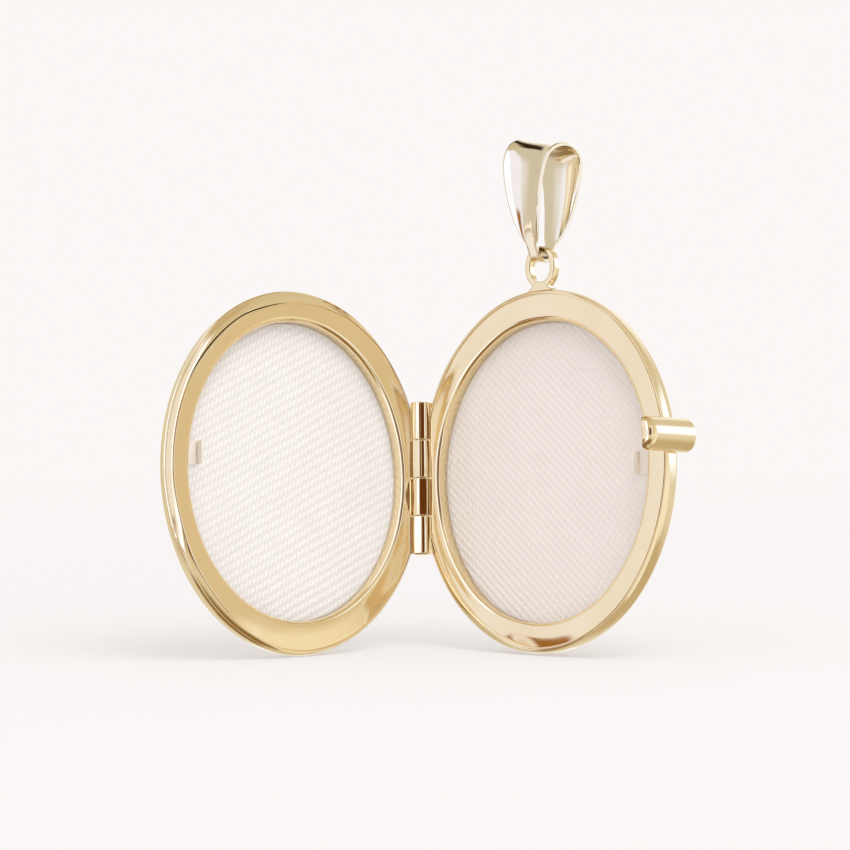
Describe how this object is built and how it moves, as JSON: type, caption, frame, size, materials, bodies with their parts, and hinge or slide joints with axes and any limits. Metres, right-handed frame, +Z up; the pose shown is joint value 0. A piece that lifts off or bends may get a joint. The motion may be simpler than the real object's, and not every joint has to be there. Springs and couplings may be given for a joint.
{
  "type": "photo locket pendant",
  "caption": "Oval hinged photo locket pendant on a tapered bail, stored open, with flat inner frames, clear lenses, woven inserts and a snap catch bar.",
  "frame": {"origin": "centre of the chain passage through the bail's wide top", "axes": "+Z up along the hinge pin, -Y out of the inner face of the back leaf, +X from the hinge towards the catch"},
  "size_m": [0.0311, 0.021, 0.0354],
  "materials": {
    "gold": "polished",
    "gold_pale": "polished",
    "gold_bright": "polished",
    "gold_hinge": "polished",
    "clear_lens": "clear",
    "woven_cream": "woven satin",
    "woven_white": "woven satin",
    "card": "matte"
  },
  "bodies": {
    "bail": {"bail": "gold_bright"},
    "back_leaf": {"bail_loop": "gold_bright", "back_shell": "gold", "back_frame": "gold_pale", "back_lens": "clear_lens", "back_insert": "woven_cream", "back_card": "card", "back_hinge_plate": "gold", "back_knuckle_top": "gold_hinge", "back_knuckle_low": "gold_hinge", "hinge_pin": "gold_hinge", "catch_bar": "gold_bright", "catch_bead": "gold_bright"},
    "front_cover": {"front_shell": "gold", "front_frame": "gold_pale", "front_lens": "clear_lens", "front_insert": "woven_white", "front_card": "card", "front_hinge_plate": "gold", "front_knuckle_high": "gold_hinge", "front_knuckle_bottom": "gold_hinge"}
  },
  "joints": [
    {"name": "bail_swing", "type": "hinge", "parent": "bail", "child": "back_leaf", "pos_m": [-0.00049, 0.00048, -0.00521], "axis": [0.9871, -0.1212, -0.1045], "range_deg": [-92, 102]},
    {"name": "cover_hinge", "type": "hinge", "parent": "back_leaf", "child": "front_cover", "pos_m": [-0.01031, 0.00007, -0.02035], "axis": [0, 0, -1], "range_deg": [-115.25, 64.75]}
  ]
}
